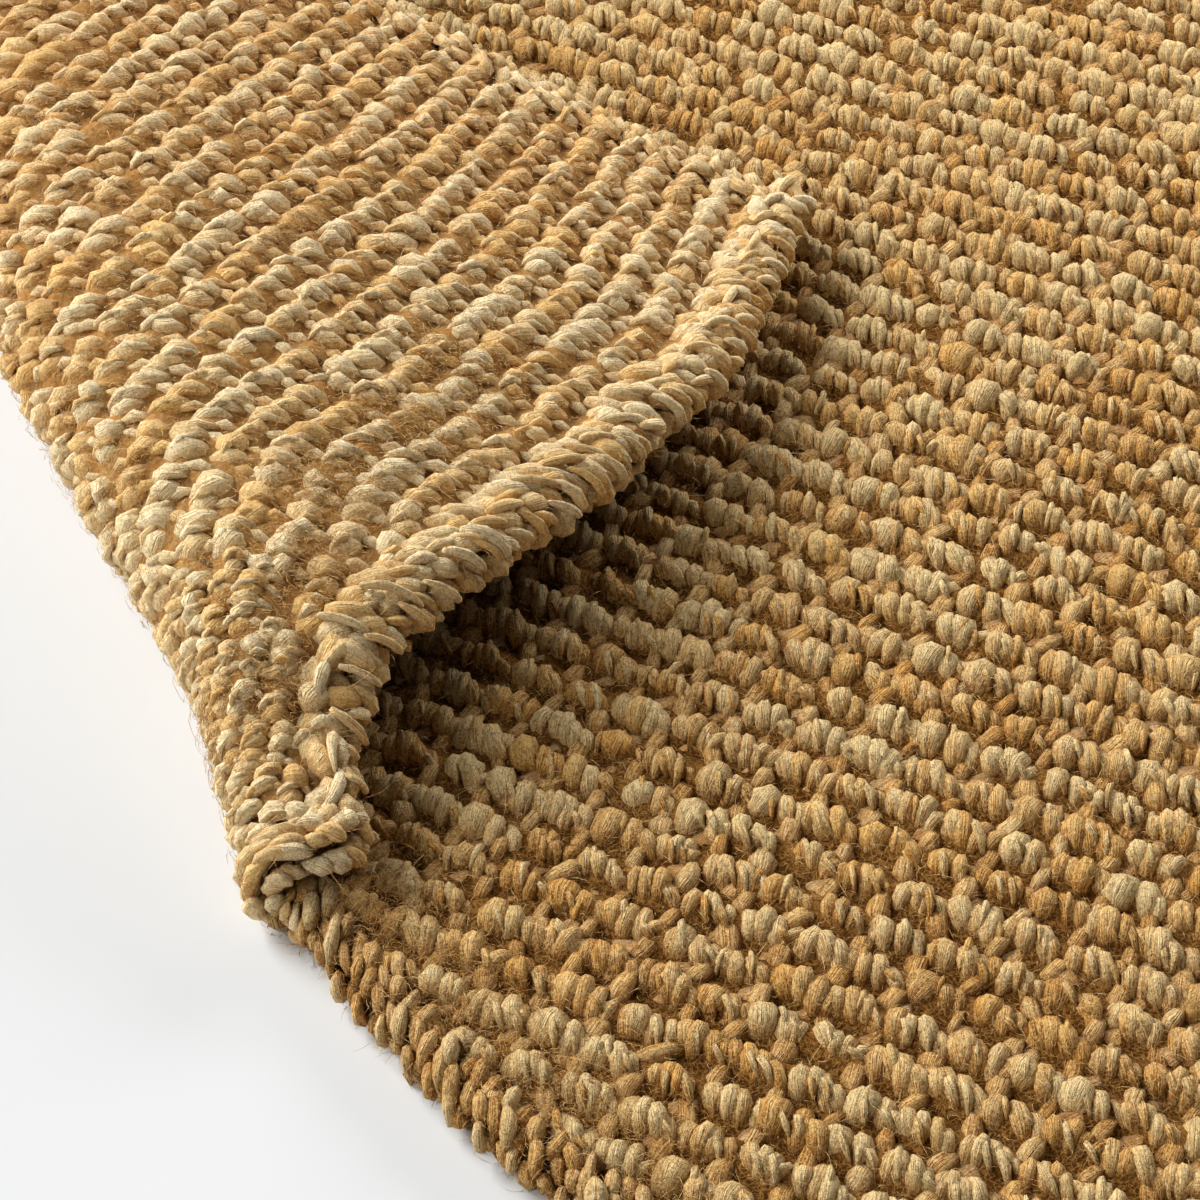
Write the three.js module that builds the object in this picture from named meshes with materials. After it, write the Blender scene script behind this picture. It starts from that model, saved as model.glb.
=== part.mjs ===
// A small hand-woven jute rug lying on a floor with one corner folded over on itself.
// Millimetres, +Z up. X runs along the weft rows and Y across them.
import * as THREE from 'three';

// Driving dimensions of the rug as it is woven, before the corner is folded.
const RUG_WIDTH = 600;
const RUG_LENGTH = 900;
const THICKNESS = 12;
const ROW_PITCH = 12.8;
const ROW_RELIEF = 1.8;

// The fold starts at the end edge, this far in from the folded corner, and runs up the rug.
const CORNER_TO_FOLD = 366;
const FOLD_DIRECTION = THREE.MathUtils.degToRad(132);

// Where the tip of the flap lies on the rug: the height of the middle of its thickness,
// and the distance from the fold's end at which the flap has come down to it.
const FLAP_REST_HEIGHT = 20;
const FLAP_REST_REACH = 208;

// The fold, a row for each cross-section square to it. All three sizes are of the middle of
// the rug's thickness: how far out the bend reaches, its half width and the flap's crest.
const FOLD_SECTIONS = [
  { along: -60, out: -5, bend: 7, crest: 20 },
  { along: 0, out: -5, bend: 7, crest: 20 },
  { along: 30, out: -5, bend: 9, crest: 27 },
  { along: 60, out: -6, bend: 14, crest: 42 },
  { along: 97, out: -14, bend: 22, crest: 49 },
  { along: 145, out: -25, bend: 31, crest: 52 },
  { along: 213, out: -37, bend: 41, crest: 53 },
  { along: 300, out: -43, bend: 46, crest: 52 },
  { along: 380, out: -40, bend: 41, crest: 46 },
  { along: 440, out: -28, bend: 28, crest: 35 },
  { along: 490, out: -12, bend: 13, crest: 24 },
  { along: 530, out: -5, bend: 7, crest: 20 },
  { along: 600, out: -5, bend: 7, crest: 20 },
];

// The end edge isn't woven straight: how far it stands from a straight line along the rows.
const END_EDGE = [
  { across: -366, edge: -32 },
  { across: -325, edge: -37 },
  { across: -270, edge: -41 },
  { across: -221, edge: -36 },
  { across: -180, edge: -31 },
  { across: -135, edge: -20 },
  { across: -90, edge: -8 },
  { across: -55, edge: -8 },
  { across: -30, edge: -22 },
  { across: -2, edge: -3 },
  { across: 23, edge: -16 },
  { across: 57, edge: -33 },
  { across: 86, edge: -44 },
  { across: 125, edge: -53 },
  { across: 175, edge: -59 },
  { across: 234, edge: -62 },
];

// Near the folded corner the rows run with the end edge: from this place outwards, and
// up to this far into the rug.
const ROWS_FOLLOW_FROM = -90;
const ROWS_FOLLOW_DEPTH = 250;

// How finely the faces follow the folded part, and how wide the band around the bend is.
const FLAP_STEP = 14;
const BEND_STEP = 6;
const TIGHT_STEP = 3;
const TIGHT_UP_TO = 12;
const BEND_BAND = 36;
const BEND_BAND_MIDDLE = -12;
const EDGE_STEP = 25;
const FLAT_MARGIN = 16;

const SIDE_LEFT = -CORNER_TO_FOLD;
const SIDE_RIGHT = RUG_WIDTH - CORNER_TO_FOLD;
const ALONG_FOLD = { x: Math.cos(FOLD_DIRECTION), y: Math.sin(FOLD_DIRECTION) };
const OFF_FOLD = { x: Math.sin(FOLD_DIRECTION), y: -Math.cos(FOLD_DIRECTION) };
const MIDDLE = THICKNESS / 2;

// Smooth curve through the rows of a table.
function follow(table, key, value, at) {
  const last = table.length - 1;
  const x = THREE.MathUtils.clamp(at, table[0][key], table[last][key]);
  let row = 0;
  while (row < last - 1 && x >= table[row + 1][key]) row += 1;
  const slope = (i) => {
    if (i === 0 || i === last) return 0;
    return (table[i + 1][value] - table[i - 1][value]) / (table[i + 1][key] - table[i - 1][key]);
  };
  const span = table[row + 1][key] - table[row][key];
  const q = (x - table[row][key]) / span;
  const startShare = 2 * q ** 3 - 3 * q ** 2 + 1;
  const startSlope = (q ** 3 - 2 * q ** 2 + q) * span * slope(row);
  const endSlope = (q ** 3 - q ** 2) * span * slope(row + 1);
  return startShare * table[row][value] + (1 - startShare) * table[row + 1][value] + startSlope + endSlope;
}

// Length of half an ellipse, which is the cloth that one turn of the bend takes up.
function halfEllipse(a, b) {
  return (Math.PI / 2) * (3 * (a + b) - Math.sqrt((3 * a + b) * (a + 3 * b)));
}

// The point of the folded rug for a point of the flat one. The offset runs from the middle
// of the thickness towards the underside, and turned says how far round the bend it is.
function foldedPoint(u, v, offset) {
  const inward = u * OFF_FOLD.x + v * OFF_FOLD.y;
  const along = u * ALONG_FOLD.x + v * ALONG_FOLD.y;
  const out = follow(FOLD_SECTIONS, 'along', 'out', along);
  const bend = follow(FOLD_SECTIONS, 'along', 'bend', along);
  const crest = follow(FOLD_SECTIONS, 'along', 'crest', along);
  const halfRise = (crest - MIDDLE) / 2;
  const centre = out + bend;
  const bendLength = halfEllipse(bend, halfRise);
  const travel = centre - inward;
  const angle = THREE.MathUtils.clamp(travel / bendLength, 0, 1) * Math.PI;
  const past = Math.max(travel - bendLength, 0);
  const reach = FLAP_REST_REACH - centre;
  const q = Math.min(past / reach, 1);
  const fall = crest - FLAP_REST_HEIGHT;
  let side = centre - bend * Math.sin(angle) + past;
  let height = MIDDLE + halfRise * (1 - Math.cos(angle)) - fall * q * q * (3 - 2 * q);
  let direction = new THREE.Vector2(-bend * Math.cos(angle), halfRise * Math.sin(angle));
  if (travel <= 0) {
    side = inward;
    height = MIDDLE;
    direction = new THREE.Vector2(-1, 0);
  } else if (past > 0) {
    direction = new THREE.Vector2(1, (-fall * 6 * q * (1 - q)) / reach);
  }
  direction.normalize();
  side -= offset * direction.y;
  height += offset * direction.x;
  return new THREE.Vector3(
    side * OFF_FOLD.x + along * ALONG_FOLD.x,
    side * OFF_FOLD.y + along * ALONG_FOLD.y,
    height,
  );
}

// How much of the row relief a point of the underside shows: none where it lies on the floor.
function undersideShare(u, v) {
  const inward = u * OFF_FOLD.x + v * OFF_FOLD.y;
  const along = u * ALONG_FOLD.x + v * ALONG_FOLD.y;
  const centre = follow(FOLD_SECTIONS, 'along', 'out', along) + follow(FOLD_SECTIONS, 'along', 'bend', along);
  return THREE.MathUtils.smoothstep(centre - inward, 0, ROW_PITCH);
}

function endEdge(u) {
  return follow(END_EDGE, 'across', 'edge', u);
}

// Where a row that is woven this far up the rug lies at a place along it.
function rowAt(u, row) {
  const swing = endEdge(Math.min(u, ROWS_FOLLOW_FROM)) - endEdge(ROWS_FOLLOW_FROM);
  const share = 1 - THREE.MathUtils.smoothstep(row, 0, ROWS_FOLLOW_DEPTH);
  return Math.max(row + swing * share, endEdge(u));
}

// Places along a row, close together in the bend, further apart in the flap and sparse where
// the rug lies flat. Rows that meet the end edge keep places along all of it.
function rowPlaces(v, meetsEdge) {
  const flatFrom = (FLAT_MARGIN - v * OFF_FOLD.y) / OFF_FOLD.x;
  const bendStep = v < TIGHT_UP_TO ? TIGHT_STEP : BEND_STEP;
  const places = [SIDE_LEFT];
  let u = SIDE_LEFT;
  while (u < Math.min(flatFrom, SIDE_RIGHT)) {
    const inward = u * OFF_FOLD.x + v * OFF_FOLD.y;
    u += Math.abs(inward - BEND_BAND_MIDDLE) < BEND_BAND ? bendStep : FLAP_STEP;
    if (u < SIDE_RIGHT - BEND_STEP) places.push(u);
  }
  while (meetsEdge && u < SIDE_RIGHT - 1.5 * EDGE_STEP) {
    u += EDGE_STEP;
    places.push(u);
  }
  places.push(SIDE_RIGHT);
  return places;
}

// One line of points for each valley and each crest of the weft rows. Lines that would lie
// outside the end edge are drawn onto it, where their points fall together.
function rowLines() {
  const lowest = Math.min(...END_EDGE.map((row) => row.edge));
  const top = lowest + RUG_LENGTH;
  const edgePlaces = rowPlaces(lowest / 4, true);
  const lines = [];
  const count = Math.round(RUG_LENGTH / (ROW_PITCH / 2));
  for (let i = 0; i <= count; i += 1) {
    const row = lowest + ((top - lowest) * i) / count;
    const places = row < 0 ? edgePlaces : rowPlaces(row, false);
    const points = places.map((u) => ({ u, v: rowAt(u, row) }));
    lines.push({ crest: i % 2 === 1 && i < count, points });
  }
  return lines;
}

class ClosedBody {
  constructor() {
    this.index = new Map();
    this.positions = [];
    this.triangles = [];
  }

  vertex(point) {
    const key = [point.x, point.y, point.z].map((value) => Math.round(value * 1000)).join(',');
    if (!this.index.has(key)) {
      this.index.set(key, this.positions.length / 3);
      this.positions.push(point.x, point.y, point.z);
    }
    return this.index.get(key);
  }

  triangle(a, b, c) {
    if (a !== b && b !== c && c !== a) this.triangles.push(a, b, c);
  }

  quad(a, b, c, d) {
    this.triangle(a, b, c);
    this.triangle(a, c, d);
  }

  geometry() {
    const geometry = new THREE.BufferGeometry();
    geometry.setAttribute('position', new THREE.Float32BufferAttribute(this.positions, 3));
    geometry.setIndex(this.triangles);
    geometry.computeVertexNormals();
    return geometry;
  }
}

// Joins two neighbouring lines, which may have different places along them, with triangles.
function joinLines(body, near, far, flip) {
  let i = 0;
  let j = 0;
  while (i < near.length - 1 || j < far.length - 1) {
    const stepNear = j === far.length - 1 || (i < near.length - 1 && near[i + 1].u <= far[j + 1].u);
    const corner = stepNear ? near[i + 1] : far[j + 1];
    if (flip) body.triangle(near[i].id, far[j].id, corner.id);
    else body.triangle(near[i].id, corner.id, far[j].id);
    if (stepNear) i += 1;
    else j += 1;
  }
}

function rugGeometry() {
  const body = new ClosedBody();
  const lines = rowLines();
  const face = (side) => lines.map((line, i) => line.points.map(({ u, v }) => {
    const onEdge = i === 0 || v <= endEdge(u) + 1e-6;
    const sunk = line.crest || onEdge ? 0 : ROW_RELIEF;
    const share = side > 0 ? undersideShare(u, v) : 1;
    return { u, id: body.vertex(foldedPoint(u, v, side * (MIDDLE - sunk * share))) };
  }));
  const upper = face(-1);
  const under = face(1);
  for (let i = 0; i < lines.length - 1; i += 1) {
    joinLines(body, upper[i], upper[i + 1], false);
    joinLines(body, under[i], under[i + 1], true);
    const last = upper[i].length - 1;
    const nextLast = upper[i + 1].length - 1;
    body.quad(upper[i][0].id, upper[i + 1][0].id, under[i + 1][0].id, under[i][0].id);
    body.quad(upper[i + 1][nextLast].id, upper[i][last].id, under[i][last].id, under[i + 1][nextLast].id);
  }
  for (const [top, bottom, flip] of [[upper[0], under[0], false], [upper.at(-1), under.at(-1), true]]) {
    for (let k = 0; k < top.length - 1; k += 1) {
      if (flip) body.quad(top[k].id, top[k + 1].id, bottom[k + 1].id, bottom[k].id);
      else body.quad(top[k + 1].id, top[k].id, bottom[k].id, bottom[k + 1].id);
    }
  }
  return body.geometry();
}

const jute = new THREE.MeshStandardMaterial({ color: 0xb98f5a, roughness: 0.9, metalness: 0 });
const rug = new THREE.Mesh(rugGeometry(), jute);
rug.name = 'rug';

// The origin is under the middle of the rug's box, on the floor.
const box = new THREE.Box3().setFromObject(rug);
const middle = box.getCenter(new THREE.Vector3());
rug.position.set(-middle.x, -middle.y, -box.min.z);

const folded_rug = new THREE.Group();
folded_rug.add(rug);
export default folded_rug;
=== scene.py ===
"""A jute rug with one corner folded over, dressed ply by ply.

The weave is laid out on the flat rug in millimetres, u along the weft rows and v across them,
and folded() takes every point of it to its place in the frame, in metres.
"""

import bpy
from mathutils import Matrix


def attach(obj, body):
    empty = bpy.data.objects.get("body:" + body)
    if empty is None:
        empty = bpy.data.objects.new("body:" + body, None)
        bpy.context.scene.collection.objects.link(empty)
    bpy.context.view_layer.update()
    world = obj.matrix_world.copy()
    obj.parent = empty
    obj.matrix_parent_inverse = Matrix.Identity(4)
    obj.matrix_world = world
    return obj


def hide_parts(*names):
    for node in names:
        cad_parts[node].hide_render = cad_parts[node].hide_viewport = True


bl_info = {
    "name": "Folded Jute Rug",
    "version": (1, 0, 0),
    "blender": (4, 5, 0),
    "location": "View3D > Sidebar > Jute Rug",
    "description": "Weaves a chunky jute rug with one corner folded over",
    "category": "Add Mesh",
}

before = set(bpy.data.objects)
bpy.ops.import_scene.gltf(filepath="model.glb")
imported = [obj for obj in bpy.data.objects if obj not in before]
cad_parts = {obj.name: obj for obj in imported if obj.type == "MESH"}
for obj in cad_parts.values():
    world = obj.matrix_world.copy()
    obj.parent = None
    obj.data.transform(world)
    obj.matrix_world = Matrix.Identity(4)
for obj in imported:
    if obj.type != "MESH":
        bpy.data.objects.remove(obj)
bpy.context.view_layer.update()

import math

import bpy
import numpy as np
from mathutils import Vector

MM = 0.001

# The flat rug, in millimetres from the fold's start at the end edge.
RUG_WIDTH = 600.0
RUG_LENGTH = 900.0
THICKNESS = 12.0
MIDDLE = THICKNESS / 2
CORNER_TO_FOLD = 366.0
SIDE_LEFT = -CORNER_TO_FOLD
SIDE_RIGHT = RUG_WIDTH - CORNER_TO_FOLD
ROW_START = -62.0
FAR_END = ROW_START + RUG_LENGTH

# Where the frame's origin lies on the rug.
FRAME_ORIGIN = (-67.13, 388.0)

FOLD_DIRECTION = math.radians(132)
ALONG_FOLD = (math.cos(FOLD_DIRECTION), math.sin(FOLD_DIRECTION))
OFF_FOLD = (math.sin(FOLD_DIRECTION), -math.cos(FOLD_DIRECTION))
FLAP_REST_HEIGHT = 20.0
FLAP_REST_REACH = 208.0

# The fold's sections: along, out, bend, crest.
FOLD_SECTIONS = np.array([
    (-60, -5, 7, 20),
    (0, -5, 7, 20),
    (30, -5, 9, 27),
    (60, -6, 14, 42),
    (97, -14, 22, 49),
    (145, -25, 31, 52),
    (213, -37, 41, 53),
    (300, -43, 46, 52),
    (380, -40, 41, 46),
    (440, -28, 28, 35),
    (490, -12, 13, 24),
    (530, -5, 7, 20),
    (600, -5, 7, 20),
], dtype=float)

# The uneven end edge: across, edge.
END_EDGE = np.array([
    (-366, -32), (-325, -37), (-270, -41), (-221, -36), (-180, -31), (-135, -20), (-90, -8), (-55, -8),
    (-30, -22), (-2, -3), (23, -16), (57, -33), (86, -44), (125, -53), (175, -59), (234, -62),
], dtype=float)
ROWS_FOLLOW_FROM = -140.0
ROWS_FOLLOW_DEPTH = 250.0

# The camera, in the frame's millimetres, as worked out from the even weave in the photograph.
CAMERA_PLACE = (418.8, -900.3, 685.6)
CAMERA_AIM = (78.1, -248.7, 0.0)
PHOTO_SIZE = 1200.0
PHOTO_FOCAL = 3800.0
SENSOR_WIDTH = 36.0
VIEW_MARGIN = 12.0

# The plies of one yarn cluster. Each row is a ply: aside, ahead, turn in degrees, length, width, rise,
# hook and lift. Sizes are in millimetres; hook bends the ply sideways as a share of its width.
TOP_CLUSTERS = (
    ((-5.2, 0.1, -74, 12.2, 5.6, 8.2, 0.1, -0.2), (-1.9, 0.4, -68, 12.8, 5.6, 8.8, 0.05, 0.2),
     (1.7, 0.1, -62, 12.8, 5.2, 8.6, -0.08, 0.2), (5.2, -0.4, -56, 12.0, 4.8, 7.8, -0.15, -0.3)),
    ((-4.4, 0.3, -64, 12.4, 6.2, 8.6, 0.1, 0.1), (-0.6, 0.5, -74, 12.8, 5.4, 8.8, 0.0, 0.4),
     (2.8, 0.3, -86, 12.4, 5.0, 8.4, 0.1, 0.1), (6.0, -0.2, -108, 11.4, 4.4, 7.4, 0.15, -0.4)),
    ((-2.6, 0.3, -84, 12.6, 9.0, 9.0, 0.02, 0.2), (3.0, 0.0, -66, 12.6, 5.4, 8.4, -0.1, 0.1),
     (6.4, -0.3, -54, 11.4, 4.2, 7.4, -0.2, -0.4)),
    ((-5.6, -0.2, -78, 11.6, 4.8, 7.8, 0.14, -0.3), (-2.4, 0.2, -70, 12.8, 5.2, 8.6, 0.06, 0.1),
     (0.8, 0.4, -64, 13.0, 5.4, 8.9, 0.0, 0.3), (3.8, 0.0, -58, 12.6, 4.8, 8.3, -0.1, 0.0),
     (6.6, -0.5, -50, 11.2, 4.0, 7.2, -0.2, -0.5)),
    ((-3.6, 0.2, -76, 12.6, 7.6, 8.8, 0.05, 0.2), (2.2, 0.2, -64, 12.8, 6.0, 8.6, -0.08, 0.2),
     (5.9, -0.3, -56, 12.0, 4.8, 7.8, -0.16, -0.2)),
)
TOP_CLUSTER_SHARES = (0.28, 0.22, 0.18, 0.18, 0.14)
TOP_STRANDS = (
    ((3.0, -0.8, -50, 10.5, 2.5, 3.4, -0.3, 2.9), (-1.4, -1.2, -54, 9.5, 2.1, 3.2, 0.25, 3.0)),
    ((-5.6, -0.6, -76, 10.0, 2.4, 3.4, 0.3, 1.6), (1.2, 0.9, -70, 9.5, 1.9, 3.0, -0.2, 3.5),
     (5.6, -1.0, -44, 9.0, 2.6, 3.4, -0.3, 1.6)),
    ((-2.2, 0.6, -60, 10.0, 2.0, 3.0, 0.35, 3.4), (4.4, -1.6, -30, 8.0, 2.2, 3.4, 0.2, 2.4)),
)
TOP_STRAND_SHARES = (0.4, 0.3, 0.3)
UNDER_CLUSTERS = (
    ((-4.0, 0.3, 34, 12.2, 7.4, 8.6, 0.0, 0.2), (3.8, -0.1, 28, 12.0, 6.8, 8.4, 0.0, 0.1)),
    ((-5.2, 0.2, 50, 10.4, 6.6, 8.4, -0.06, 0.2), (0.2, 0.2, 40, 11.2, 6.2, 8.4, 0.0, 0.3),
     (5.3, -0.3, 30, 10.4, 5.8, 7.8, 0.06, -0.2)),
    ((-4.4, 0.4, 64, 10.2, 8.8, 8.8, -0.05, 0.4), (3.6, -0.4, 26, 12.4, 6.6, 8.0, 0.06, -0.1)),
    ((-2.8, 0.8, 22, 13.4, 6.4, 8.4, 0.1, 0.2), (3.4, -0.9, 36, 11.8, 6.6, 8.2, -0.05, 0.0)),
)
UNDER_CLUSTER_SHARES = (0.3, 0.3, 0.22, 0.18)
LOOSE_CLUSTERS = (
    ((-4.0, 1.1, 17, 14.5, 6.6, 8.4, 0.04, 0.3), (3.9, -1.2, 15, 14.5, 6.4, 8.4, -0.04, 0.1)),
    ((-4.2, 0.6, 26, 13.6, 7.2, 8.6, 0.04, 0.3), (3.7, -0.8, 20, 14.0, 6.2, 8.2, -0.04, 0.1)),
)
LOOSE_CLUSTER_SHARES = (0.6, 0.4)
UNDER_STRANDS = (
    ((-1.0, -0.6, 50, 8.5, 2.2, 3.2, 0.3, 3.1), (5.2, 0.4, 34, 8.5, 2.3, 3.2, -0.25, 2.6),
     (3.0, -4.7, 72, 8.5, 3.4, 4.2, 0.1, 1.0)),
    ((1.4, 0.8, 26, 9.0, 2.4, 3.2, 0.2, 3.4), (-5.4, -0.4, 60, 8.5, 2.2, 3.2, -0.3, 2.4),
     (-3.6, -4.8, 104, 8.0, 3.0, 4.0, -0.1, 0.8), (6.8, -4.6, 80, 8.0, 3.4, 4.0, 0.1, 0.6)),
)
UNDER_STRAND_SHARES = (0.55, 0.45)
FAR_CLUSTERS = (
    ((-3.4, 0.2, -70, 12.2, 8.0, 8.6, 0.08, 0.0), (3.2, -0.2, -60, 12.2, 7.6, 8.4, -0.1, 0.0)),
    ((-4.2, 0.2, -70, 11.8, 6.2, 8.4, 0.1, 0.0), (2.2, 0.0, -62, 12.4, 9.0, 8.6, -0.08, 0.0)),
)
FAR_CLUSTER_SHARES = (0.6, 0.4)
FLOOR_CLUSTERS = (((0.0, 0.0, 62, 11.0, 14.4, 8.0, 0.0, 0.0),),)
PLY_FIELDS = ("u", "v", "lift", "turn", "length", "width", "rise", "hook", "drop", "face", "tone", "warmth")

# How much a ply's girth swells and shrinks along the way, and the height over mid thickness at
# which it is as bright as it gets; below it the yarn is painted browner, as painted shade.
PLY_LUMPS = 0.08
BRIGHT_HEIGHT = 6.4

# Where the fibres are matted: u, v, reach and how much denser than elsewhere.
MATTED_PLACES = (
    (-40, 25, 18, 7), (-60, 12, 16, 7), (-95, 14, 18, 7), (-130, 16, 18, 7), (-170, 10, 16, 7),
    (-205, 10, 16, 6), (-120, 60, 10, 4), (-150, 85, 9, 4), (-185, 70, 9, 4), (-240, 60, 10, 4),
    (14, 8, 22, 12), (38, -4, 22, 12), (62, -16, 22, 12), (88, -26, 22, 11), (120, -34, 20, 8),
    (60, 60, 14, 2), (110, 110, 14, 2), (150, 60, 12, 2),
)

# The yarns that turn round an edge: way round it, turn in degrees, length, width, step and how far
# they stand out by turns.
EDGE_TURNS = (
    (8.6, -64, 10.5, 5.2, 5.0, 0.3),
    (1.0, -52, 9.0, 4.8, 5.2, 0.8),
    (-5.4, -34, 9.5, 5.2, 6.0, 0.5),
    (-10.4, -24, 11.5, 6.0, 6.8, 0.4),
)
LOW_EDGE_TURNS = (
    (11.0, -72, 9.5, 4.6, 4.9, 0.6),
    (6.0, -60, 10.0, 4.6, 4.6, 0.5),
    (0.2, -56, 7.2, 4.4, 4.2, 0.5),
    (-6.0, -60, 9.5, 5.2, 5.0, 0.3),
)

# Thin strands that lie on the flap's end edge, by the same columns.
EDGE_STRANDS = (
    (-8.0, -28, 11.5, 2.3, 8.2, 0.5),
    (-2.6, -46, 9.0, 2.0, 6.6, 0.6),
    (4.0, -60, 8.5, 1.9, 7.0, 0.4),
)

# How far down the left edge the fold takes it up.
LEFT_TO_FOLD = 424.0

# How far along the fold its bend is too tight for clusters of the usual size.
TIGHT_BEND_TO = 85.0

# How much fuller the ground is on the underside, and its share of a ridge where it has no rows.
UNDER_FILL = 0.4
EVEN_RIDGE = 0.3

# How far before the fold the end edge's turns get finer.
TIP_REACH = 34.0

TOP_FACE = 1.0
UNDER_FACE = -1.0


def linear(red, green, blue):
    """A colour of the 0 to 255 scale as Blender's linear numbers."""
    return tuple(pow(c / 255, 2.2) for c in (red, green, blue))


# The rug's shape

def follow(table, at, column):
    """Smooth curve through a column of a table whose first column is the place."""
    places, values = table[:, 0], table[:, column]
    x = np.clip(at, places[0], places[-1])
    row = np.clip(np.searchsorted(places, x, side="right") - 1, 0, len(places) - 2)
    slopes = np.zeros(len(places))
    slopes[1:-1] = (values[2:] - values[:-2]) / (places[2:] - places[:-2])
    span = places[row + 1] - places[row]
    q = (x - places[row]) / span
    start = 2 * q**3 - 3 * q**2 + 1
    bend = (q**3 - 2 * q**2 + q) * slopes[row] + (q**3 - q**2) * slopes[row + 1]
    return start * values[row] + (1 - start) * values[row + 1] + bend * span


def smoothstep(value, low, high):
    q = np.clip((value - low) / (high - low), 0, 1)
    return q * q * (3 - 2 * q)


def end_edge(u):
    return follow(END_EDGE, u, 1)


def row_at(u, row):
    """Where a row woven this far up the rug lies at a place along it."""
    swing = end_edge(np.minimum(u, ROWS_FOLLOW_FROM)) - end_edge(np.full_like(u, ROWS_FOLLOW_FROM))
    return row + swing * (1 - smoothstep(row, 0, ROWS_FOLLOW_DEPTH))


def row_of(u, v):
    """The row that passes a place of the flat rug, as its distance up the rug where it starts."""
    row = v
    for _ in range(4):
        row = v - (row_at(u, row) - row)
    return row


def fold_travel(u, v):
    """How far past the start of the bend a point is, the bend's length there, and its section."""
    inward = u * OFF_FOLD[0] + v * OFF_FOLD[1]
    along = u * ALONG_FOLD[0] + v * ALONG_FOLD[1]
    out, bend, crest = (follow(FOLD_SECTIONS, along, k) for k in (1, 2, 3))
    half_rise = (crest - MIDDLE) / 2
    centre = out + bend
    mixed = np.sqrt((3 * bend + half_rise) * (bend + 3 * half_rise))
    bend_length = np.pi / 2 * (3 * (bend + half_rise) - mixed)
    return inward, along, centre, bend, crest, half_rise, bend_length


def folded(u, v, lift):
    """Places in the frame, in metres, of points of the flat rug; lift is over mid thickness."""
    inward, along, centre, bend, crest, half_rise, bend_length = fold_travel(u, v)
    travel = centre - inward
    angle = np.clip(travel / bend_length, 0, 1) * np.pi
    past = np.maximum(travel - bend_length, 0)
    reach = FLAP_REST_REACH - centre
    q = np.minimum(past / reach, 1)
    fall = crest - FLAP_REST_HEIGHT
    side = np.where(travel <= 0, inward, centre - bend * np.sin(angle) + past)
    height = MIDDLE + half_rise * (1 - np.cos(angle)) - fall * q * q * (3 - 2 * q)
    run = np.where(travel <= 0, -1.0, np.where(past > 0, 1.0, -bend * np.cos(angle)))
    climb = np.where(past > 0, -fall * 6 * q * (1 - q) / reach, half_rise * np.sin(angle))
    climb = np.where(travel <= 0, 0.0, climb)
    size = np.hypot(run, climb)
    side = side + lift * climb / size
    height = height - lift * run / size
    x = side * OFF_FOLD[0] + along * ALONG_FOLD[0] - FRAME_ORIGIN[0]
    y = side * OFF_FOLD[1] + along * ALONG_FOLD[1] - FRAME_ORIGIN[1]
    return np.stack([x, y, np.maximum(height, 0)], axis=-1) * MM


def woven(u, v, lift):
    """Places in the frame of points of the weave, whose rows swing with the end edge."""
    return folded(u, row_at(u, v), lift)


def turned_over(u, v, margin=0.0):
    """Which points of the flat rug are in the bend or the flap."""
    inward, _, centre, *_ = fold_travel(u, v)
    return centre - inward > -margin


def in_photo(points):
    """Which places show in the photograph's frame, or just outside it."""
    place = np.array(CAMERA_PLACE) * MM
    forward = np.array(CAMERA_AIM) * MM - place
    forward /= np.linalg.norm(forward)
    right = np.cross(forward, (0, 0, 1))
    right /= np.linalg.norm(right)
    up = np.cross(right, forward)
    seen = points - place
    depth = seen @ forward
    limit = PHOTO_SIZE / 2 + VIEW_MARGIN
    across = np.abs(seen @ right / depth * PHOTO_FOCAL)
    upward = np.abs(seen @ up / depth * PHOTO_FOCAL)
    return (across < limit) & (upward < limit)


# The rug's edges. A point of an edge is given by its place along it, its way round the edge from
# the outermost line (up over the top face, down under the other) and its height over the core.

EDGE_CORE = 4.2


def round_edge(start, inward, wavy, s, arc, lift):
    """Flat coordinates of a point of an edge's turned yarns."""
    along = (inward[1], -inward[0])
    quarter = EDGE_CORE * np.pi / 2
    angle = np.clip(arc, -quarter, quarter) / EDGE_CORE
    beyond = np.maximum(np.abs(arc) - quarter, 0)
    radius = EDGE_CORE + lift
    depth = EDGE_CORE + 2.2 - radius * np.cos(angle) + beyond
    u = start[0] + along[0] * s + inward[0] * depth
    v = start[1] + along[1] * s + inward[1] * depth
    if wavy:
        v = end_edge(u) + depth
    return u, v, radius * np.sin(angle)


EDGES = {
    "end": ((SIDE_LEFT, 0.0), (0.0, 1.0), True, RUG_WIDTH),
    "right": ((SIDE_RIGHT, ROW_START), (-1.0, 0.0), False, RUG_LENGTH),
    "far": ((SIDE_RIGHT, FAR_END), (0.0, -1.0), False, RUG_WIDTH),
    "left": ((SIDE_LEFT, FAR_END), (1.0, 0.0), False, RUG_LENGTH - 30.0),
}


# Making meshes

def clear_selection():
    if bpy.context.object and bpy.context.object.mode != "OBJECT":
        bpy.ops.object.mode_set(mode="OBJECT")
    bpy.ops.object.select_all(action="DESELECT")


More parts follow.
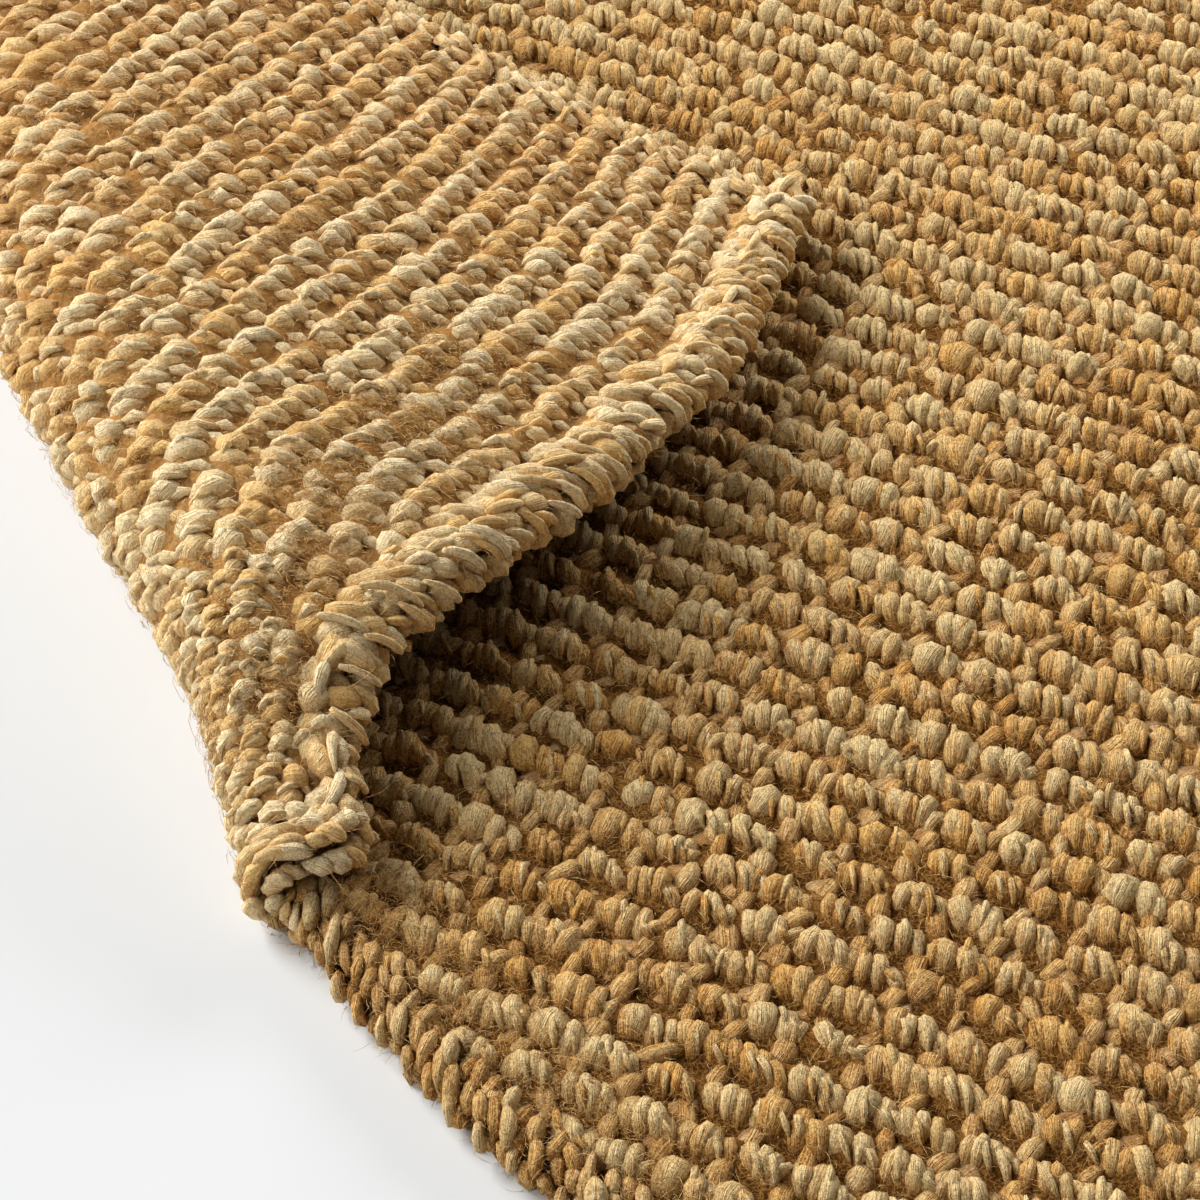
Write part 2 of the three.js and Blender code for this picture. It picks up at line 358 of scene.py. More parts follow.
def ply_master(segments, rings, fullness=-0.28):
    """The one ply that the others copy, lying along X: plump below 0, pointed above."""
    clear_selection()
    bpy.ops.mesh.primitive_uv_sphere_add(segments=segments, ring_count=rings, radius=1)
    bpy.ops.object.mode_set(mode="EDIT")
    bpy.ops.mesh.select_all(action="SELECT")
    bpy.ops.transform.rotate(value=math.pi / 2, orient_axis="Y", center_override=(0, 0, 0))
    bpy.ops.object.mode_set(mode="OBJECT")
    bean = bpy.context.object
    points = np.empty(len(bean.data.vertices) * 3)
    bean.data.vertices.foreach_get("co", points)
    points = points.reshape(-1, 3)
    faces = [tuple(p.vertices) for p in bean.data.polygons]
    bpy.data.objects.remove(bean, do_unlink=True)
    radius = np.hypot(points[:, 1], points[:, 2])
    around = np.arctan2(points[:, 1], points[:, 2]) / (2 * np.pi)
    swell = np.where(radius > 1e-6, np.maximum(radius, 1e-6) ** fullness, 1.0)
    points[:, 1:] *= swell[:, None]
    return {"points": points, "faces": faces, "around": around}


def joined_mesh(name, places, faces, corners_uv, tints):
    """A mesh object from arrays: one block of points, faces and tints for all its copies."""
    mesh = bpy.data.meshes.new(name)
    sizes = np.array([len(f) for f in faces])
    flat = np.concatenate([np.asarray(f) for f in faces])
    copies, count = places.shape[0], places.shape[1]
    mesh.vertices.add(copies * count)
    mesh.vertices.foreach_set("co", places.astype(np.float32).ravel())
    loops = (flat[None, :] + (np.arange(copies) * count)[:, None]).ravel()
    mesh.loops.add(len(loops))
    mesh.loops.foreach_set("vertex_index", loops.astype(np.int32))
    starts = np.concatenate([[0], np.cumsum(sizes)[:-1]])
    all_starts = (starts[None, :] + (np.arange(copies) * len(flat))[:, None]).ravel()
    mesh.polygons.add(len(all_starts))
    mesh.polygons.foreach_set("loop_start", all_starts.astype(np.int32))
    mesh.polygons.foreach_set("use_smooth", np.ones(len(all_starts), dtype=bool))
    layer = mesh.uv_layers.new(name="fibre")
    uv = corners_uv.reshape(copies * count, 2)[loops]
    layer.data.foreach_set("uv", uv.astype(np.float32).ravel())
    tint = mesh.color_attributes.new(name="yarn", type="FLOAT_COLOR", domain="POINT")
    tint.data.foreach_set("color", tints.reshape(-1, 4).astype(np.float32).ravel())
    mesh.update(calc_edges=True)
    mesh.validate()
    obj = bpy.data.objects.new(name, mesh)
    bpy.context.scene.collection.objects.link(obj)
    return obj


def ply_mesh(name, master, spots, place, seed, painted_light_lift=0.0):
    """Copies the master ply to every spot, each a little uneven, and joins them into one piece.
    The last argument is painted light: how much higher the yarns stand than their lift says, for
    their brightness alone, which paints them paler; it may differ from spot to spot."""
    points, around = master["points"], master["around"]
    field = {key: spots[key][:, None] for key in PLY_FIELDS}
    rng = np.random.default_rng(seed)
    copies = len(spots["u"])
    phase = rng.uniform(0, 2 * np.pi, (copies, 3))
    lengthwise, girth = points[None, :, 0], around[None, :] * 2 * np.pi
    lumps = np.sin(2.3 * lengthwise + phase[:, :1]) + np.sin(2 * girth + 1.7 * lengthwise + phase[:, 1:2])
    lumps = 1 + PLY_LUMPS * (lumps + 0.6 * np.sin(3 * girth - 3.1 * lengthwise + phase[:, 2:]))
    x = lengthwise * field["length"] / 2
    y = points[None, :, 1] * lumps * field["width"] / 2
    y = (y + field["hook"] * field["width"] * lengthwise**2) * field["face"]
    z = field["lift"] + points[None, :, 2] * lumps * field["rise"] / 2
    z = z - field["drop"] * lengthwise**2
    cos, sin = np.cos(field["turn"]), np.sin(field["turn"])
    u = field["u"] + x * cos - y * sin
    v = field["v"] + x * sin + y * cos
    places = place(u, v, z * field["face"])
    shift = rng.uniform(0, 40, (copies, 2))
    uv = np.stack([
        lengthwise * field["length"] / 10 + shift[:, :1],
        around[None, :] * field["width"] / 5.5 + shift[:, 1:],
    ], axis=-1)
    # Painted light and shade: the higher a point of a ply stands, the paler it is painted; lower down it is painted
    # browner.
    height = np.clip((z + np.reshape(painted_light_lift, (-1, 1))) / BRIGHT_HEIGHT, 0, 1)
    tints = np.stack(np.broadcast_arrays(field["tone"], field["warmth"], height, 1.0), axis=-1)
    return joined_mesh(name, places, master["faces"], uv, tints)


def gather(parts):
    return {key: np.concatenate([part[key] for part in parts]) for key in PLY_FIELDS}


def cluster_plies(u, v, face, lift, recipes, shares, rng, drop=2.7, size=1.0):
    """A spot for every ply of every cluster, each cluster by one of the recipes. Smaller plies keep
    their tops as high as the others'."""
    kinds = rng.choice(len(recipes), size=u.size, p=shares)
    patches = 0.14 * np.sin(0.053 * u + 0.31 * v) + 0.14 * np.sin(0.43 * v + 0.017 * u + 1.0)
    tone = rng.normal(0.52, 0.19, u.size) + patches
    warmth = np.clip(rng.normal(0.27, 0.26, u.size) - 0.9 * patches, 0, 1)
    rusty = rng.random(u.size) < 0.08
    warmth = np.where(rusty, rng.uniform(0.6, 0.95, u.size), warmth)
    scale = size * rng.normal(1.0, 0.09, u.size)
    parts = []
    for kind, recipe in enumerate(recipes):
        chosen = kinds == kind
        n = int(chosen.sum())
        for aside, ahead, turn, length, width, rise, hook, above in recipe:
            parts.append({
                "u": u[chosen] + aside * scale[chosen] + rng.normal(0, 0.45, n),
                "v": v[chosen] + ahead * size + rng.normal(0, 0.4, n),
                "lift": lift + above + (1 - size) * rise / 2 + rng.normal(0, 0.35, n),
                "turn": np.radians(turn + rng.normal(0, 9, n)),
                "length": length * scale[chosen] * rng.normal(1, 0.06, n),
                "width": width * scale[chosen] * rng.normal(1, 0.08, n),
                "rise": size * rise * rng.normal(1, 0.05, n),
                "hook": hook + rng.normal(0, 0.07, n),
                "drop": np.full(n, drop * size),
                "face": np.full(n, face),
                "tone": tone[chosen] + rng.normal(0, 0.12, n),
                "warmth": np.clip(warmth[chosen] + rng.normal(0, 0.16, n), 0, 1),
            })
    return gather(parts)


def weave_cells(row_pitch, step, rng, jitter):
    """The middles of the weave's cells on the flat rug, with the slow drift of hand weaving."""
    rows = int(RUG_LENGTH / row_pitch)
    columns = int((RUG_WIDTH - 8) / step)
    pitch = RUG_LENGTH / rows
    reach = (RUG_WIDTH - 8) / columns
    row, column = np.meshgrid(np.arange(rows), np.arange(columns), indexing="ij")
    v = ROW_START + (row + 0.5) * pitch
    u = SIDE_LEFT + 4 + (column + 0.5) * reach
    drift = 1.6 * np.sin(row * 0.31 + 0.8) + 1.1 * np.sin(row * 0.83 + column * 0.11)
    u = u + drift * np.sin(np.pi * (column + 0.5) / columns) + rng.normal(0, jitter, u.shape)
    v = v + 0.5 * np.sin(column * 0.37 + row * 0.2) + rng.normal(0, jitter * 0.4, v.shape)
    return u.ravel(), v.ravel()


def inside_edges(u, v, band):
    """Which cells are clear of the edge bands."""
    clear = row_at(u, v) - end_edge(u) > band
    clear &= v < FAR_END - band
    clear &= (u > SIDE_LEFT + band * 0.6) & (u < SIDE_RIGHT - band * 0.6)
    return clear


def mend(obj, material):
    """Gives a finished piece its material, hangs it under the root body's empty and hides the rug part."""
    obj.data.materials.clear()
    obj.data.materials.append(material)
    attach(obj, "root")
    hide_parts("rug")
    return obj


# Materials

def socket(tree, name, kind, default=None, out=False):
    made = tree.interface.new_socket(name=name, in_out="OUTPUT" if out else "INPUT", socket_type=kind)
    if default is not None:
        made.default_value = default
    return made


def add_node(tree, kind, **values):
    node = tree.nodes.new(kind)
    for key, value in values.items():
        setattr(node, key, value)
    return node


def math_node(tree, operation, first, second, clamp=False):
    node = add_node(tree, "ShaderNodeMath", operation=operation, use_clamp=clamp)
    for index, value in enumerate((first, second)):
        if isinstance(value, (int, float)):
            node.inputs[index].default_value = value
        else:
            tree.links.new(value, node.inputs[index])
    return node.outputs[0]


def mix_colours(tree, share, first, second, blend="MIX"):
    node = add_node(tree, "ShaderNodeMix", data_type="RGBA", blend_type=blend)
    for name, value in (("Factor_Float", share), ("A_Color", first), ("B_Color", second)):
        target = next(s for s in node.inputs if s.identifier == name)
        if isinstance(value, (int, float)):
            target.default_value = value
        elif isinstance(value, tuple):
            target.default_value = (*value[:3], 1)
        else:
            tree.links.new(value, target)
    return next(s for s in node.outputs if s.identifier == "Result_Color")


def stretch_range(tree, value, low, high, start=0.0, end=1.0):
    node = add_node(tree, "ShaderNodeMapRange", clamp=True)
    tree.links.new(value, node.inputs["Value"])
    for name, number in (("From Min", low), ("From Max", high), ("To Min", start), ("To Max", end)):
        node.inputs[name].default_value = number
    return node.outputs["Result"]


def noise(tree, vector, scale, detail, roughness=0.55):
    node = add_node(tree, "ShaderNodeTexNoise")
    tree.links.new(vector, node.inputs["Vector"])
    node.inputs["Scale"].default_value = scale
    node.inputs["Detail"].default_value = detail
    node.inputs["Roughness"].default_value = roughness
    return node.outputs["Fac"]


def stretched(tree, vector, scale):
    node = add_node(tree, "ShaderNodeMapping")
    tree.links.new(vector, node.inputs["Vector"])
    node.inputs["Scale"].default_value = scale
    return node.outputs["Vector"]


def fibre_streaks_group():
    """Streaks that run along a ply's fibres, from its own UV map."""
    name = "Fibre streaks"
    if name in bpy.data.node_groups:
        return bpy.data.node_groups[name]
    tree = bpy.data.node_groups.new(name, "ShaderNodeTree")
    socket(tree, "Vector", "NodeSocketVector")
    socket(tree, "Streak", "NodeSocketFloat", out=True)
    socket(tree, "Band", "NodeSocketFloat", out=True)
    entry, leave = add_node(tree, "NodeGroupInput"), add_node(tree, "NodeGroupOutput")
    vector = entry.outputs["Vector"]
    fine = stretch_range(tree, noise(tree, stretched(tree, vector, (0.5, 80, 1)), 1, 1, 0.5), 0.41, 0.59)
    lines = stretch_range(tree, noise(tree, stretched(tree, vector, (0.4, 34, 1)), 1, 1, 0.5), 0.42, 0.56)
    both = math_node(tree, "ADD", math_node(tree, "MULTIPLY", lines, 0.55), math_node(tree, "MULTIPLY", fine, 0.45))
    broad = noise(tree, stretched(tree, vector, (0.45, 11, 1)), 1, 2)
    tree.links.new(both, leave.inputs["Streak"])
    tree.links.new(stretch_range(tree, broad, 0.35, 0.65), leave.inputs["Band"])
    return tree


def hair_lines_group():
    """Fine curling hairs that lie on the yarns, as two masks of thin lines."""
    name = "Hair lines"
    if name in bpy.data.node_groups:
        return bpy.data.node_groups[name]
    tree = bpy.data.node_groups.new(name, "ShaderNodeTree")
    socket(tree, "Vector", "NodeSocketVector")
    entry, leave = add_node(tree, "NodeGroupInput"), add_node(tree, "NodeGroupOutput")
    for label, scales in (
        ("Pale", ((330, 260, 400, 0.026), (640, 780, 580, 0.055))),
        ("Dark", ((380, 300, 240, 0.026), (700, 560, 840, 0.05))),
    ):
        socket(tree, label, "NodeSocketFloat", out=True)
        lines = None
        for *scale, width in scales:
            field = noise(tree, stretched(tree, entry.outputs["Vector"], scale), 1, 1)
            away = math_node(tree, "ABSOLUTE", math_node(tree, "SUBTRACT", field, 0.5), 0)
            line = stretch_range(tree, away, 0.1 * width, width, 1.0, 0.0)
            lines = line if lines is None else math_node(tree, "MAXIMUM", lines, line)
        tree.links.new(lines, leave.inputs[label])
    return tree


# What the warmest jute lets through of the straw's own colour.
GOLDEN_TINT = (1.0, 0.8, 0.48)


def jute_colour_group():
    """Colour of jute: brown low down as painted shade, ochre between, pale straw on the best lit fibres as painted
    light.
    """
    name = "Jute colour"
    if name in bpy.data.node_groups:
        return bpy.data.node_groups[name]
    tree = bpy.data.node_groups.new(name, "ShaderNodeTree")
    for label in ("Streak", "Band", "Tone", "Warmth", "Height", "Pale hair", "Dark hair"):
        socket(tree, label, "NodeSocketFloat", 0.5)
    for label in ("Straw", "Ochre", "Shade"):
        socket(tree, label, "NodeSocketColor")
    socket(tree, "Colour", "NodeSocketColor", out=True)
    entry, leave = add_node(tree, "NodeGroupInput"), add_node(tree, "NodeGroupOutput")
    given = entry.outputs
    # Painted light and shade: the higher the yarn lies, the paler it is painted. Tone, streaks, bands and warmth are
    # its own colour. The pale hairs are also painted paler higher up.
    light = math_node(tree, "MULTIPLY", given["Height"], 0.85)
    for label, weight in (("Tone", 0.4), ("Streak", 0.66), ("Band", 0.2), ("Warmth", -0.4)):
        light = math_node(tree, "ADD", light, math_node(tree, "MULTIPLY", given[label], weight))
    body = mix_colours(tree, stretch_range(tree, light, 0.3, 0.88), given["Shade"], given["Ochre"])
    golden = stretch_range(tree, given["Warmth"], 0.15, 0.85, 0.0, 0.9)
    straw = mix_colours(tree, golden, given["Straw"], GOLDEN_TINT, "MULTIPLY")
    body = mix_colours(tree, stretch_range(tree, light, 0.76, 1.44), body, straw)
    dark = math_node(tree, "MULTIPLY", given["Dark hair"], 0.62)
    body = mix_colours(tree, dark, body, given["Shade"])
    pale = math_node(tree, "MULTIPLY", given["Pale hair"], stretch_range(tree, given["Height"], 0, 1, 0.45, 0.75))
    body = mix_colours(tree, pale, body, straw)
    tree.links.new(body, leave.inputs["Colour"])
    return tree


def yarn_material(name, straw, ochre, shade, bump=0.9, roughness=(0.45, 0.8), sheen=0.0):
    """Jute yarn, with its fibres along each ply."""
    material = bpy.data.materials.new(name)
    material.use_nodes = True
    tree = material.node_tree
    shader = tree.nodes["Principled BSDF"]
    uv = add_node(tree, "ShaderNodeUVMap", uv_map="fibre")
    streaks = add_node(tree, "ShaderNodeGroup", node_tree=fibre_streaks_group())
    tree.links.new(uv.outputs["UV"], streaks.inputs["Vector"])
    tint = add_node(tree, "ShaderNodeAttribute", attribute_name="yarn")
    parts = add_node(tree, "ShaderNodeSeparateColor")
    tree.links.new(tint.outputs["Color"], parts.inputs["Color"])
    hairs = add_node(tree, "ShaderNodeGroup", node_tree=hair_lines_group())
    place = add_node(tree, "ShaderNodeTexCoord").outputs["Object"]
    tree.links.new(place, hairs.inputs["Vector"])
    colour = add_node(tree, "ShaderNodeGroup", node_tree=jute_colour_group())
    for source, target in (
        (hairs.outputs["Pale"], "Pale hair"),
        (hairs.outputs["Dark"], "Dark hair"),
        (streaks.outputs["Streak"], "Streak"),
        (streaks.outputs["Band"], "Band"),
        (parts.outputs["Red"], "Tone"),
        (parts.outputs["Green"], "Warmth"),
        (parts.outputs["Blue"], "Height"),
    ):
        tree.links.new(source, colour.inputs[target])
    for label, value in (("Straw", straw), ("Ochre", ochre), ("Shade", shade)):
        colour.inputs[label].default_value = (*value[:3], 1)
    tree.links.new(colour.outputs["Colour"], shader.inputs["Base Color"])
    rough = stretch_range(tree, streaks.outputs["Streak"], 0, 1, roughness[1], roughness[0])
    tree.links.new(rough, shader.inputs["Roughness"])
    relief = add_node(tree, "ShaderNodeBump")
    relief.inputs["Strength"].default_value = bump
    relief.inputs["Distance"].default_value = 0.5 * MM
    ridges = math_node(tree, "ADD", streaks.outputs["Streak"], math_node(tree, "MULTIPLY", streaks.outputs["Band"], 0.4))
    ridges = math_node(tree, "ADD", ridges, math_node(tree, "MULTIPLY", hairs.outputs["Pale"], 0.3))
    tree.links.new(ridges, relief.inputs["Height"])
    tree.links.new(relief.outputs["Normal"], shader.inputs["Normal"])
    shader.inputs["Sheen Weight"].default_value = sheen
    shader.inputs["Sheen Roughness"].default_value = 0.5
    shader.inputs["Specular IOR Level"].default_value = 0.25
    return material


def ground_material(ochre, shade, pale_ochre, pale_shade):
    """The matted fibre between the clusters, dark in the grooves as painted shade, and pale on the underside as
    painted bounce light.
    """
    material = bpy.data.materials.new("Matted jute")
    material.use_nodes = True
    tree = material.node_tree
    shader = tree.nodes["Principled BSDF"]
    place = add_node(tree, "ShaderNodeTexCoord").outputs["Object"]
    tangled = noise(tree, place, 900, 4, 0.7)
    patches = noise(tree, place, 130, 2)
    hairs = add_node(tree, "ShaderNodeGroup", node_tree=hair_lines_group())
    tree.links.new(place, hairs.inputs["Vector"])
    tint = add_node(tree, "ShaderNodeAttribute", attribute_name="yarn")
    ridge = add_node(tree, "ShaderNodeSeparateColor")
    tree.links.new(tint.outputs["Color"], ridge.inputs["Color"])
    under = ridge.outputs["Red"]
    dark = mix_colours(tree, under, tuple(shade), tuple(pale_shade))
    warm = mix_colours(tree, under, tuple(ochre), tuple(pale_ochre))
    colour = mix_colours(tree, stretch_range(tree, tangled, 0.4, 0.62), dark, warm)
    colour = mix_colours(tree, stretch_range(tree, patches, 0.4, 0.65, 0.0, 0.5), colour, dark)
    # Painted shade: the ground is darkened in the grooves between the rows, half as much on the underside.
    groove = stretch_range(tree, ridge.outputs["Blue"], 0.0, 0.8, 0.75, 0.0)
    groove = math_node(tree, "MULTIPLY", groove, stretch_range(tree, under, 0.0, 1.0, 1.0, 0.5))
    colour = mix_colours(tree, groove, colour, tuple(0.45 * x for x in shade))
    pale = math_node(tree, "MULTIPLY", hairs.outputs["Pale"], 0.5)
    colour = mix_colours(tree, pale, colour, tuple(1.6 * x for x in ochre))
    tree.links.new(colour, shader.inputs["Base Color"])
    shader.inputs["Roughness"].default_value = 0.95
    shader.inputs["Specular IOR Level"].default_value = 0.05
    relief = add_node(tree, "ShaderNodeBump")
    relief.inputs["Strength"].default_value = 0.8
    relief.inputs["Distance"].default_value = 0.8 * MM
    tree.links.new(tangled, relief.inputs["Height"])
    tree.links.new(relief.outputs["Normal"], shader.inputs["Normal"])
    return material


def floor_material(colour):
    material = bpy.data.materials.new("Pale floor")
    material.use_nodes = True
    tree = material.node_tree
    shader = tree.nodes["Principled BSDF"]
    place = add_node(tree, "ShaderNodeTexCoord").outputs["Object"]
    tone = stretch_range(tree, noise(tree, place, 3, 2), 0.3, 0.7, 0.985, 1.0)
    lit = add_node(tree, "ShaderNodeVectorMath", operation="SCALE")
    lit.inputs[0].default_value = tuple(colour)
    tree.links.new(tone, lit.inputs["Scale"])
    tree.links.new(lit.outputs[0], shader.inputs["Base Color"])
    shader.inputs["Roughness"].default_value = 0.8
    shader.inputs["Specular IOR Level"].default_value = 0.2
    return material


# The user's sizes and colours

class RugSizes(bpy.types.PropertyGroup):
    """Sizes of the weave."""

    row_pitch: bpy.props.FloatProperty(
        name="Row pitch", description="Distance from one weft row to the next on the top face",
        default=12.8 * MM, min=6 * MM, max=30 * MM, subtype="DISTANCE", unit="LENGTH", precision=4)
    cluster_step: bpy.props.FloatProperty(
        name="Cluster step", description="Distance from one yarn cluster to the next along a row",
        default=14.5 * MM, min=6 * MM, max=30 * MM, subtype="DISTANCE", unit="LENGTH", precision=4)
    under_row_pitch: bpy.props.FloatProperty(
        name="Underside row pitch", description="Distance from row to row on the underside",
        default=9.5 * MM, min=6 * MM, max=30 * MM, subtype="DISTANCE", unit="LENGTH", precision=4)
    under_step: bpy.props.FloatProperty(
        name="Underside step", description="Distance from cluster to cluster on the underside",
        default=15.8 * MM, min=6 * MM, max=30 * MM, subtype="DISTANCE", unit="LENGTH", precision=4)
    ground_thickness: bpy.props.FloatProperty(
        name="Ground thickness", description="Thickness of the matted ground under the clusters",
        default=2.2 * MM, min=1 * MM, max=8 * MM, subtype="DISTANCE", unit="LENGTH", precision=4)
    row_relief: bpy.props.FloatProperty(
        name="Row relief", description="Height of the ground's ridge under each row of clusters",
        default=2.6 * MM, min=0, max=4 * MM, subtype="DISTANCE", unit="LENGTH", precision=4)
    ply_lift: bpy.props.FloatProperty(
        name="Ply lift", description="Height of a ply's middle over the middle of the rug",
        default=1.9 * MM, min=0, max=5 * MM, subtype="DISTANCE", unit="LENGTH", precision=4)
    edge_fill: bpy.props.FloatProperty(
        name="Edge step", description="Distance between the plies along the edges, beside the usual one",
        default=1.0, min=0.6, max=2.0, subtype="FACTOR")
    fibre_thickness: bpy.props.FloatProperty(
        name="Fibre thickness", description="Thickness of a stray fibre",
        default=0.12 * MM, min=0.05 * MM, max=1 * MM, subtype="DISTANCE", unit="LENGTH", precision=5)
    fibre_count: bpy.props.IntProperty(
        name="Fibres", description="Number of stray fibres on the part that faces the camera",
        default=15000, min=0, max=16000)


class RugColours(bpy.types.PropertyGroup):
    """Colours of the jute and the floor."""

    straw: bpy.props.FloatVectorProperty(
        name="Straw", description="The palest jute", size=3, subtype="COLOR", min=0, max=1,
        default=linear(238, 208, 148))
    ochre: bpy.props.FloatVectorProperty(
        name="Ochre", description="The warm jute", size=3, subtype="COLOR", min=0, max=1,
        default=linear(192, 128, 48))
    # Shade and pale shade are painted shade: the colours the yarns are painted low down between the plies.
    shade: bpy.props.FloatVectorProperty(
        name="Shade", description="The brown low down between the plies", size=3, subtype="COLOR",
        min=0, max=1, default=linear(98, 58, 20))
    pale_straw: bpy.props.FloatVectorProperty(
        name="Pale straw", description="The palest jute of the underside", size=3, subtype="COLOR",
        min=0, max=1, default=linear(254, 232, 182))
    pale_ochre: bpy.props.FloatVectorProperty(
        name="Pale ochre", description="The warm jute of the underside", size=3, subtype="COLOR",
        min=0, max=1, default=linear(236, 179, 96))
    pale_shade: bpy.props.FloatVectorProperty(
        name="Pale shade", description="The brown low down on the underside", size=3, subtype="COLOR",
        min=0, max=1, default=linear(178, 120, 58))
    floor: bpy.props.FloatVectorProperty(
        name="Floor", description="The plain floor", size=3, subtype="COLOR", min=0, max=1,
        default=linear(219, 220, 220))


def sizes():
    return bpy.context.scene.rug_sizes


def colours():
    return bpy.context.scene.rug_colours


def yarn(name, pale=False):
    """The yarn material of one face, made once."""
    if name in bpy.data.materials:
        return bpy.data.materials[name]
    c = colours()
    if not pale:
        return yarn_material(name, c.straw, c.ochre, c.shade)
    return yarn_material(name, c.pale_straw, c.pale_ochre, c.pale_shade, 0.8, (0.5, 0.85), 0.15)


# The pieces

class RUG_OT_ground_cloth(bpy.types.Operator):
    """Make the thin ground of the rug, folded over its corner"""

    bl_idname = "rug.ground_cloth"
    bl_label = "Ground cloth"

    def execute(self, context):
        s = sizes()
        half = s.ground_thickness / MM / 2
        inset = 5.0
        columns, close_rows, far_rows, close_share = 48, 200, 36, 0.58
        clear_selection()
        bpy.ops.mesh.primitive_grid_add(x_subdivisions=columns, y_subdivisions=close_rows + far_rows, size=1)
        cloth = context.object
        cloth.name = "ground_cloth"
        points = self.points(cloth) + 0.5
        line = points[:, 1] * (close_rows + far_rows)
        far_on = (line - close_rows) / far_rows
        reach = np.where(line < close_rows, line / close_rows * close_share, close_share + far_on * (1 - close_share))
        u = SIDE_LEFT + inset + points[:, 0] * (RUG_WIDTH - 2 * inset)
        near = end_edge(u) + inset + 1.5
        v = near + reach * (FAR_END - inset - near)
        cloth.data.vertices.foreach_set("co", folded(u, v, np.zeros_like(u)).ravel())
        cloth.data.update()
        solid = cloth.modifiers.new("Thickness", "SOLIDIFY")
        solid.thickness = 2 * half * MM
        solid.offset = 0
        bpy.ops.object.modifier_apply(modifier=solid.name)
        bpy.ops.object.shade_smooth()
        even = smoothstep(line, close_rows - 16, close_rows)
        over = even * EVEN_RIDGE + (1 - even) * self.ridge(u, v, s.row_pitch / MM)
        below = even * EVEN_RIDGE + (1 - even) * self.ridge(u, v, s.under_row_pitch / MM)
        top = folded(u, v, half + s.row_relief / MM * over)
        under = folded(u, v, -half - UNDER_FILL - s.row_relief / MM * below)
        first = self.points(cloth)[: u.size]
        top_first = np.linalg.norm(first - top, axis=1).sum() < np.linalg.norm(first - under, axis=1).sum()
        sides, heights = ([top, under], [over, below]) if top_first else ([under, top], [below, over])
        cloth.data.vertices.foreach_set("co", np.concatenate(sides).ravel())
        # The tint carries the ridge height for the ground's painted shade in the grooves, and the side for the
        # underside's painted bounce light.
        tint = cloth.data.color_attributes.new(name="yarn", type="FLOAT_COLOR", domain="POINT")
        height = np.concatenate(heights)
        side = np.repeat([0.0, 1.0] if top_first else [1.0, 0.0], u.size)
        tint.data.foreach_set("color", np.stack([side, height, height, np.ones_like(side)], axis=-1).ravel())
        cloth.data.update()
        c = colours()
        ground = [0.42 * x + 0.1 * y for x, y in zip(c.ochre, c.straw)]
        pale_ground = [0.3 * x + 0.24 * y for x, y in zip(c.pale_ochre, c.pale_straw)]
        shade, pale_shade = [0.8 * x for x in c.shade], [0.8 * x for x in c.pale_shade]
        mend(cloth, ground_material(ground, shade, pale_ground, pale_shade))
        return {"FINISHED"}

    def points(self, cloth):
        places = np.empty(len(cloth.data.vertices) * 3)
        cloth.data.vertices.foreach_get("co", places)
        return places.reshape(-1, 3)

    def ridge(self, u, v, pitch):
        """How high up a row's ridge each place is, from 0 in the groove to 1 along the row."""
        pitch = RUG_LENGTH / int(RUG_LENGTH / pitch)
        return np.sin(np.pi * (row_of(u, v) - ROW_START) / pitch) ** 2


class RUG_OT_top_weave(bpy.types.Operator):
    """Make the yarn clusters of the top face, and the warp that shows between them"""

    bl_idname = "rug.top_weave"
    bl_label = "Top weave"

    def execute(self, context):
        s = sizes()
        rng = np.random.default_rng(11)
        u, v = weave_cells(s.row_pitch / MM, s.cluster_step / MM, rng, 0.7)
        clear = inside_edges(u, v, 9.0)
        u, v = u[clear], v[clear]
        shown = in_photo(woven(u, v, np.full_like(u, MIDDLE))) & ~turned_over(u, v, 4.0)
        lift = s.ply_lift / MM
        close = cluster_plies(u[shown], v[shown], TOP_FACE, lift, TOP_CLUSTERS, TOP_CLUSTER_SHARES, rng)
        close["length"] *= 0.93
        close["width"] *= 1.06
        far = cluster_plies(u[~shown], v[~shown], TOP_FACE, lift, FAR_CLUSTERS, FAR_CLUSTER_SHARES, rng)
        far["length"] *= 1.15
        far["width"] *= 1.3
        far["lift"] += 0.5
        loose = cluster_plies(u[shown], v[shown], TOP_FACE, lift, TOP_STRANDS, TOP_STRAND_SHARES, rng, 2.9)
        between = self.warp(u[shown], v[shown], 0.5, 12.5, s, rng)
        material = yarn("Jute yarn")
        # Painted light: the clusters are painted paler the farther up the rug they lie, and the coarse clusters
        # around are painted paler still.
        painted_light, painted_light_far = (1.1 * smoothstep(spots["v"], 40, 330) for spots in (close, far))
        mend(ply_mesh("top_clusters", ply_master(7, 6, -0.15), close, woven, 61, painted_light), material)
        mend(ply_mesh("top_clusters_around", ply_master(4, 3), far, woven, 62, painted_light_far + 1.2), material)
        mend(ply_mesh("warp_between_clusters", ply_master(6, 5), between, woven, 63), material)
        mend(ply_mesh("top_strands", ply_master(5, 5, 0.1), loose, woven, 64), material)
        return {"FINISHED"}

    def warp(self, u, v, share, length, s, rng):
        """The warp that dips between the clusters, narrower, lower and warmer than they are."""
        n = u.size
        return {
            "u": u + s.cluster_step / MM / 2 + rng.normal(0, 0.7, n),
            "v": v - s.row_pitch / MM * (share + rng.uniform(-0.1, 0.1, n)),
            "lift": rng.normal(0.9, 0.5, n),
            "turn": np.radians(-88 + rng.normal(0, 13, n)),
            "length": length * rng.normal(1.0, 0.1, n),
            "width": rng.normal(6.4, 0.8, n),
            "rise": rng.normal(5.8, 0.6, n),
            "hook": rng.normal(0, 0.12, n),
            "drop": np.full(n, 0.8),
            "face": np.full(n, TOP_FACE),
            "tone": rng.normal(0.7, 0.15, n),
            "warmth": np.clip(rng.normal(0.45, 0.2, n), 0, 1),
        }


